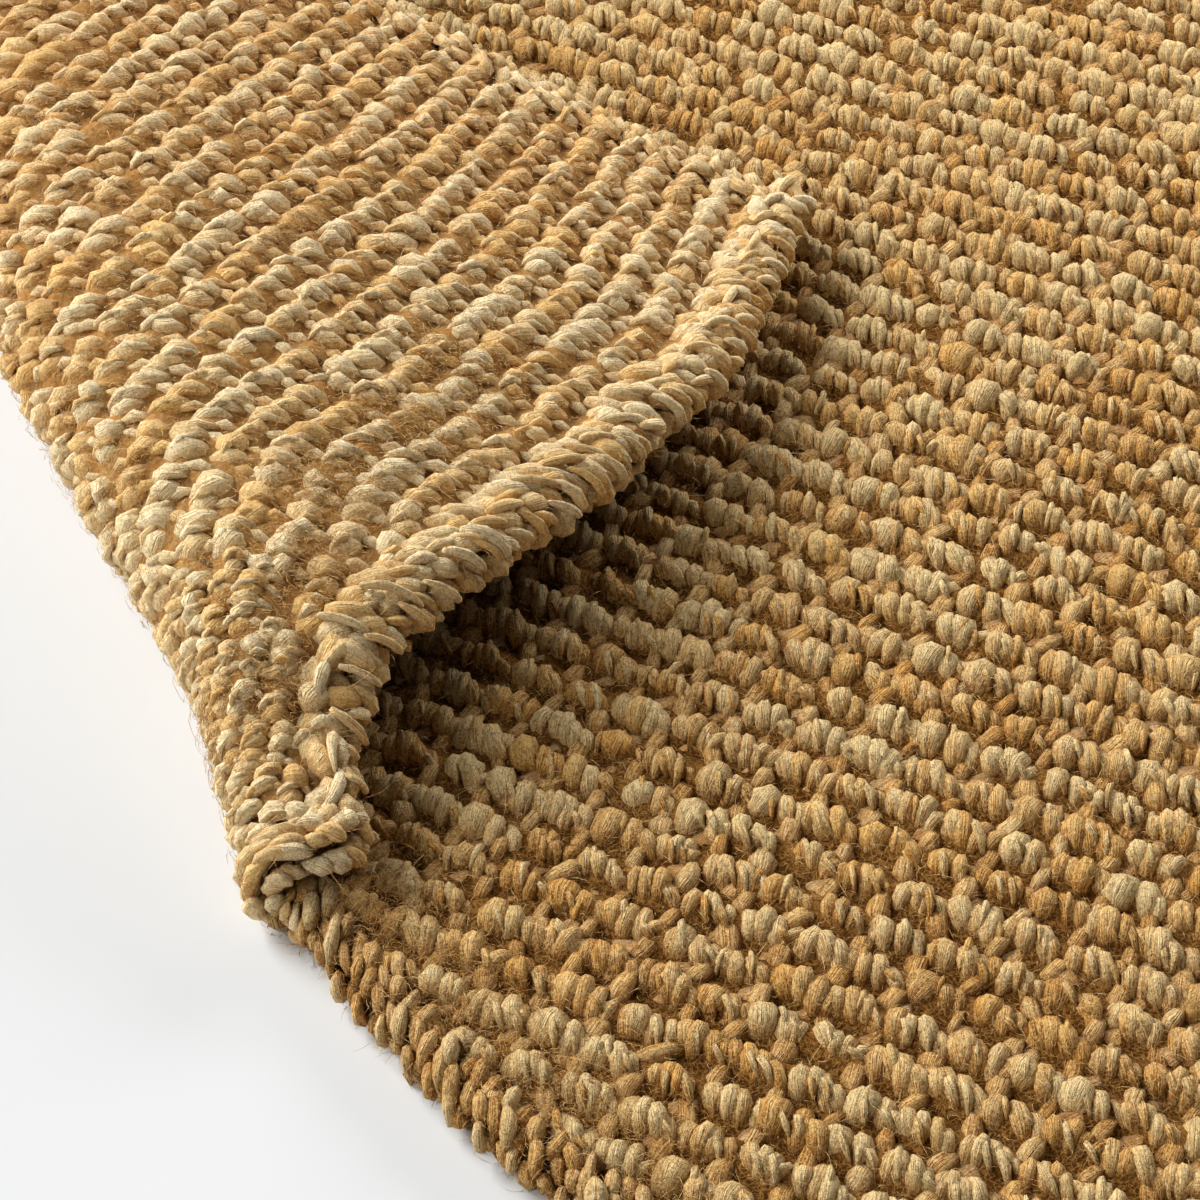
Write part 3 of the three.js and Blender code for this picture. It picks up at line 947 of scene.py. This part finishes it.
class RUG_OT_underside(bpy.types.Operator):
    """Make the yarn clusters of the underside, which shows on the flap"""

    bl_idname = "rug.underside"
    bl_label = "Underside weave"

    def execute(self, context):
        s = sizes()
        rng = np.random.default_rng(23)
        lift = s.ply_lift / MM
        flap, strands = [], []
        for fine in (1.0, 0.6):
            u, v = weave_cells(s.under_row_pitch / MM * fine, s.under_step / MM * fine, rng, 0.9)
            clear = inside_edges(u, v, 9.0)
            u, v = u[clear], v[clear]
            lifted = turned_over(u, row_at(u, v), 6.0)
            tip = self.tip(u, row_at(u, v))
            loose = lifted & ~tip & (row_at(u, v) - end_edge(u) < 46) & (u > -135)
            tight = lifted & ~tip & ~loose
            if fine == 1.0:
                below = cluster_plies(u[~lifted], v[~lifted], UNDER_FACE, lift, FLOOR_CLUSTERS, (1.0,), rng)
                zones = ((tight, UNDER_CLUSTERS, UNDER_CLUSTER_SHARES, 0.93),
                         (loose, LOOSE_CLUSTERS, LOOSE_CLUSTER_SHARES, 0.86))
                across = lifted & ~tip
            else:
                zones = ((tip, UNDER_CLUSTERS, UNDER_CLUSTER_SHARES, 0.6),)
                across = tip
            for zone, recipes, shares, size in zones:
                flap.append(cluster_plies(
                    u[zone], v[zone], UNDER_FACE, lift, recipes, shares, rng, 2.7, size))
            strands.append(cluster_plies(
                u[across], v[across], UNDER_FACE, lift, UNDER_STRANDS, UNDER_STRAND_SHARES, rng, 2.4, fine))
        flap, strands = gather(flap), gather(strands)
        material = yarn("Pale jute yarn", True)
        painted_light, painted_light_strands = (self.painted_light(spots) for spots in (flap, strands))
        mend(ply_mesh("flap_clusters", ply_master(7, 5, -0.2), flap, woven, 65, painted_light), material)
        mend(ply_mesh("flap_strands", ply_master(5, 4, 0.1), strands, woven, 66, painted_light_strands), material)
        mend(ply_mesh("underside_clusters", ply_master(4, 3), below, woven, 67), material)
        return {"FINISHED"}

    def painted_light(self, spots):
        """Painted light on the flap: how much paler it is painted, most at the fold's start and least on the bend and
        far along, where it turns to painted shade.
        """
        inward, along, centre, *_ = fold_travel(spots["u"], spots["v"])
        bent = (1 - smoothstep(centre - inward, 20, 90)) * smoothstep(along, 60, 160)
        return 4.4 - 5.8 * smoothstep(along, 60, 300) - 2.6 * bent

    def tip(self, u, v):
        """Where the bend is so tight that its outer face stretches the weave."""
        inward, along, centre, *_, bend_length = fold_travel(u, v)
        travel = centre - inward
        return (travel > -6) & (travel < bend_length + 4) & (along < TIGHT_BEND_TO)


class RUG_OT_edges(bpy.types.Operator):
    """Make the turned yarns along the four edges"""

    bl_idname = "rug.edges"
    bl_label = "Edges"

    def execute(self, context):
        for number, (name, (start, inward, wavy, length)) in enumerate(EDGES.items()):
            rng = np.random.default_rng(31 + number)

            def place(s, arc, lift, start=start, inward=inward, wavy=wavy):
                return folded(*round_edge(start, inward, wavy, s, arc, lift))

            if wavy:
                tip = CORNER_TO_FOLD - TIP_REACH
                beyond = CORNER_TO_FOLD + 4.0
                spots = [self.turns(0.0, tip, *turn, rng) for turn in EDGE_TURNS]
                spots += [self.turns(tip, beyond, *self.finer(*turn), rng) for turn in EDGE_TURNS]
                spots += [self.strands(0.0, tip, *turn, rng) for turn in EDGE_STRANDS]
                # The last number given to ply_mesh is painted light: how much paler the turns are painted than their
                # height gives.
                turns = ply_mesh("end_edge_turns", ply_master(8, 6), gather(spots), place, 68, 3.8)
                mend(turns, yarn("Pale jute yarn", True))
                spots = [self.turns(CORNER_TO_FOLD - 6.0, length, *turn, rng) for turn in LOW_EDGE_TURNS]
                # Painted light here as well, by the last number.
                turns = ply_mesh("low_edge_turns", ply_master(7, 5, -0.2), gather(spots), place, 75, 1.6)
                mend(turns, yarn("Jute yarn"))
                continue
            spots = gather([self.turns(0.0, length, *turn, rng) for turn in EDGE_TURNS])
            lifted = (name == "left") & (spots["u"] > LEFT_TO_FOLD)
            # The last number of each is painted light, as on the end edge.
            for label, which, painted_light_lift in ((name, ~lifted, 1.6), ("flap_side", lifted, 2.6)):
                if which.any():
                    part = {key: spots[key][which] for key in PLY_FIELDS}
                    turns = ply_mesh(f"{label}_edge_turns", ply_master(4, 3), part, place, 68 + number, painted_light_lift)
                    mend(turns, yarn("Pale jute yarn", True) if painted_light_lift > 2 else yarn("Jute yarn"))
        return {"FINISHED"}

    def finer(self, arc, turn, size, width, step, stand):
        """A row of an edge's turns in a finer gauge, for where the bend stretches them."""
        return arc, turn, 0.62 * size, 0.85 * width, 0.42 * step, stand

    def strands(self, start, end, arc, turn, size, width, step, stand, rng):
        """Thin strands that lie on an edge's turns."""
        spots = self.turns(start, end, arc, turn, size, width, step, stand, rng)
        spots["rise"] *= 0.55
        spots["lift"] += 2.3
        return spots

    def turns(self, start, end, arc, turn, size, width, step, stand, rng):
        """The plies of one yarn that runs along the edge at this way round it."""
        step = step * sizes().edge_fill
        n = int((end - start) / step)
        s = start + (np.arange(n) + 0.5) * (end - start) / n
        return {
            "u": s + rng.normal(0, 0.8, n),
            "v": arc + rng.normal(0, 0.8, n),
            "lift": np.where(np.arange(n) % 2 == 0, stand, -stand) + rng.normal(0.3, 0.5, n),
            "turn": np.radians(turn + rng.normal(0, 16, n)),
            "length": size * rng.normal(1, 0.1, n),
            "width": width * rng.normal(1, 0.12, n),
            "rise": rng.normal(5.4, 0.4, n),
            "hook": rng.normal(0, 0.12, n),
            "drop": np.full(n, 1.2),
            "face": np.ones(n),
            "tone": rng.normal(0.5, 0.16, n),
            "warmth": np.clip(rng.normal(0.4, 0.22, n), 0, 1),
        }


def fibre_mesh(name, bends, starts, headings, ends, lengths, tones, warmths, heights, thickness, place):
    """Thin curved tubes of three sides with pointed ends. Headings and ends are the directions that
    each sets out and finishes in, in the flat rug's u, v and lift."""
    steps = np.linspace(0, 1, bends + 2)[None, :, None]
    sweep = headings[:, None, :] * steps + (ends - headings)[:, None, :] * steps**2 / 2
    line = starts[:, None, :] + sweep * lengths[:, None, None]
    run = headings[:, None, :] + (ends - headings)[:, None, :] * steps
    run /= np.linalg.norm(run, axis=2, keepdims=True)
    first = np.cross(run, (0.3, 0.2, 1.0))
    first /= np.linalg.norm(first, axis=2, keepdims=True) + 1e-9
    second = np.cross(run, first)
    ring = [line + thickness / 2 * (first * math.cos(a) + second * math.sin(a))
            for a in (0, 2 * math.pi / 3, 4 * math.pi / 3)]
    middle = np.stack(ring, axis=2)[:, 1:-1].reshape(len(starts), -1, 3)
    points = np.concatenate([line[:, :1], middle, line[:, -1:]], axis=1)
    places = place(points[..., 0], points[..., 1], points[..., 2])
    last = 1 + 3 * (bends - 1)
    faces = [(0, 1 + (j + 1) % 3, 1 + j) for j in range(3)]
    faces += [(k + j, k + (j + 1) % 3, k + 3 + (j + 1) % 3, k + 3 + j) for k in range(1, last, 3) for j in range(3)]
    faces += [(last + 3, last + j, last + (j + 1) % 3) for j in range(3)]
    along = np.concatenate([[0], np.repeat(np.arange(1, bends + 1), 3), [bends + 1]]) / (bends + 1)
    along = along[None, :] + np.zeros((len(starts), 1))
    uv = np.stack([along + tones[:, None] * 17, np.broadcast_to(warmths[:, None], along.shape) * 9], axis=-1)
    tints = (tones[:, None], warmths[:, None], heights[:, None] + np.zeros_like(along), 1.0)
    return joined_mesh(name, places, faces, uv, np.stack(np.broadcast_arrays(*tints), axis=-1))


class RUG_OT_stray_fibres(bpy.types.Operator):
    """Make the stray fibres that stand off the yarns"""

    bl_idname = "rug.stray_fibres"
    bl_label = "Stray fibres"

    def execute(self, context):
        s = sizes()
        rng = np.random.default_rng(47)
        tries = 1200000
        u = rng.uniform(SIDE_LEFT + 2, SIDE_RIGHT - 2, tries)
        v = rng.uniform(ROW_START, FAR_END - 2, tries)
        inside = v > end_edge(u) + 1.5
        u, v = u[inside], v[inside]
        tries = u.size
        over = turned_over(u, v, 4.0)
        face = np.where(over, UNDER_FACE, TOP_FACE)
        shown = in_photo(folded(u, v, MIDDLE * face))
        matted = np.zeros(tries)
        for at_u, at_v, reach, more in MATTED_PLACES:
            matted += more * np.exp(-((u - at_u) ** 2 + (v - at_v) ** 2) / (2 * (reach / 2) ** 2))
        taken = rng.random(tries) < (1 + matted) / 9
        thickness = s.fibre_thickness / MM
        near, flap, around = shown & taken & ~over, shown & taken & over, ~shown & taken
        for name, bends, which, start, share in (
            ("stray_fibres", 2, near, 0.0, 0.28),
            ("flap_stray_fibres", 2, flap, 0.0, 0.2),
            ("fuzz", 1, near, 0.28, 1.2),
            ("flap_fuzz", 1, flap, 0.2, 1.5),
            ("stray_fibres_around", 1, around, 0.0, 0.16),
        ):
            span = slice(int(start * s.fibre_count), int((start + share) * s.fibre_count))
            pick = np.flatnonzero(which)[span]
            girth = thickness * (1.35 if name == "flap_fuzz" else 1.0)
            self.scatter(name, bends, u[pick], v[pick], face[pick], matted[pick], rng, girth)
        self.rim(s.fibre_count // 14, rng, thickness)
        return {"FINISHED"}

    def rim(self, n, rng, thickness):
        """Hairs that stand out past the end edge."""
        u = rng.uniform(SIDE_LEFT + 6, 150, n)
        lift = rng.uniform(-5.5, 5.5, n)
        v = end_edge(u) + 1.5 + 0.12 * lift**2
        way = np.radians(rng.normal(-90, 45, n))
        bend = way + rng.normal(0, 1.6, n)
        starts = np.stack([u, v, lift], axis=-1)
        headings = np.stack([np.cos(way), np.sin(way), 0.12 * lift + rng.normal(0, 0.3, n)], axis=-1)
        ends = np.stack([np.cos(bend), np.sin(bend), rng.normal(0, 0.6, n)], axis=-1)
        lengths = rng.gamma(2.0, 1.2, n) + 1.5
        tones, warmths = rng.normal(0.6, 0.2, n), np.clip(rng.normal(0.45, 0.2, n), 0, 1)
        # Painted light: these hairs are painted as pale as the tops of the yarns.
        hairs = fibre_mesh(
            "rim_fibres", 2, starts, headings, ends, lengths, tones, warmths, np.ones(n), thickness, folded)
        mend(hairs, yarn("Jute yarn"))

    def scatter(self, name, bends, u, v, face, matted, rng, thickness):
        """Hairs at these places, warmer where they are matted; those of one bend are the short fuzz."""
        n = u.size
        mat = rng.random(n) < matted / (1 + matted)
        short = bends == 1
        way = rng.uniform(0, 2 * np.pi, n)
        bend = way + rng.normal(0, 1.2 if short else 1.9, n)
        rise = rng.uniform(0.05, 0.7, n)
        fall = rng.normal(-0.55, 0.35, n)
        begin = rng.uniform(2.8, 6.6, n) if short else rng.uniform(4.8, 7.2, n)
        begin = np.where(mat, np.maximum(begin, 4.6), begin)
        starts = np.stack([u, v, face * begin], axis=-1)
        headings = np.stack([np.cos(way), np.sin(way), face * rise], axis=-1)
        ends = np.stack([np.cos(bend), np.sin(bend), face * fall], axis=-1)
        lengths = rng.gamma(3.0, 0.7, n) + 1.4 if short else rng.gamma(2.0, 1.9, n) + 2.5
        tones = np.clip(rng.normal(0.6, 0.25, n), 0, 1.2)
        warmths = np.clip(rng.normal(0.3, 0.25, n) + np.where(mat, 0.35, 0.0), 0, 1)
        # Painted shade: hairs that start lower down are painted darker.
        heights = np.clip(begin / 6.6 + rng.normal(-0.05, 0.2, n), 0.25, 1)
        fibres = fibre_mesh(
            name, bends, starts, headings, ends, lengths, tones, warmths, heights, thickness, folded)
        mend(fibres, yarn("Jute yarn"))


class RUG_OT_stage(bpy.types.Operator):
    """Make the pale floor, the studio light and the camera"""

    bl_idname = "rug.stage"
    bl_label = "Stage"

    def execute(self, context):
        clear_selection()
        bpy.ops.mesh.primitive_plane_add(size=60, location=(0, 0, 0))
        floor = context.object
        floor.name = "floor"
        floor.data.materials.append(floor_material(colours().floor))
        self.light(context)
        self.camera(context)
        return {"FINISHED"}

    def light(self, context):
        world = bpy.data.worlds.new("Studio")
        world.use_nodes = True
        background = world.node_tree.nodes["Background"]
        background.inputs["Color"].default_value = (1.0, 0.98, 0.95, 1)
        background.inputs["Strength"].default_value = 0.075
        context.scene.world = world
        for name, energy, spread, towards, height in (
            ("Key light", 3.65, 32, 172, 32),
            ("Fill light", 1.15, 30, 235, 40),
        ):
            lamp = bpy.data.lights.new(name, "SUN")
            lamp.energy = energy
            lamp.angle = math.radians(spread)
            way, rise = math.radians(towards), math.radians(height)
            place = Vector((math.cos(way) * math.cos(rise), math.sin(way) * math.cos(rise), math.sin(rise)))
            self.hang(context, lamp, place, Vector((0, 0, 0)))
        for name, energy, size, place, aim in (
            ("Back light", 6.6, 0.5, (0.25, 0.6, 0.4), (0.15, 0.05, 0)),
            ("Side light", 2.3, 0.4, (-0.6, -0.35, 0.5), (0, -0.25, 0)),
        ):
            lamp = bpy.data.lights.new(name, "AREA")
            lamp.energy = energy
            lamp.size = size
            self.hang(context, lamp, Vector(place), Vector(aim))
        context.scene.view_settings.view_transform = "Standard"

    def hang(self, context, light, place, aim):
        """Puts a light at a place, turned to what it lights."""
        lamp = bpy.data.objects.new(light.name, light)
        lamp.location = place
        lamp.rotation_mode = "QUATERNION"
        lamp.rotation_quaternion = (place - aim).to_track_quat("Z", "Y")
        context.scene.collection.objects.link(lamp)

    def camera(self, context):
        data = bpy.data.cameras.new("Camera")
        data.sensor_width = SENSOR_WIDTH
        data.lens = PHOTO_FOCAL / PHOTO_SIZE * SENSOR_WIDTH
        camera = bpy.data.objects.new("Camera", data)
        camera.location = Vector(CAMERA_PLACE) * MM
        view = Vector(CAMERA_AIM) * MM - camera.location
        camera.rotation_mode = "QUATERNION"
        camera.rotation_quaternion = view.to_track_quat("-Z", "Y")
        context.scene.collection.objects.link(camera)
        context.scene.camera = camera


OPERATORS = (
    RUG_OT_ground_cloth,
    RUG_OT_top_weave,
    RUG_OT_underside,
    RUG_OT_edges,
    RUG_OT_stray_fibres,
    RUG_OT_stage,
)


class RUG_PT_panel(bpy.types.Panel):
    """The rug's sizes, colours and steps in the 3D view's sidebar"""

    bl_idname = "RUG_PT_panel"
    bl_label = "Jute Rug"
    bl_space_type = "VIEW_3D"
    bl_region_type = "UI"
    bl_category = "Jute Rug"

    def draw(self, context):
        layout = self.layout
        for group in (context.scene.rug_sizes, context.scene.rug_colours):
            box = layout.box()
            for name in group.__annotations__:
                box.prop(group, name)
        for operator in OPERATORS:
            layout.operator(operator.bl_idname)


CLASSES = (RugSizes, RugColours, *OPERATORS, RUG_PT_panel)


def register():
    for made in CLASSES:
        bpy.utils.register_class(made)
    bpy.types.Scene.rug_sizes = bpy.props.PointerProperty(type=RugSizes)
    bpy.types.Scene.rug_colours = bpy.props.PointerProperty(type=RugColours)


def unregister():
    del bpy.types.Scene.rug_colours
    del bpy.types.Scene.rug_sizes
    for made in reversed(CLASSES):
        bpy.utils.unregister_class(made)


def main():
    register()
    bpy.ops.rug.ground_cloth()
    bpy.ops.rug.top_weave()
    bpy.ops.rug.underside()
    bpy.ops.rug.edges()
    bpy.ops.rug.stray_fibres()
    bpy.ops.rug.stage()


if __name__ == "__main__":
    main()
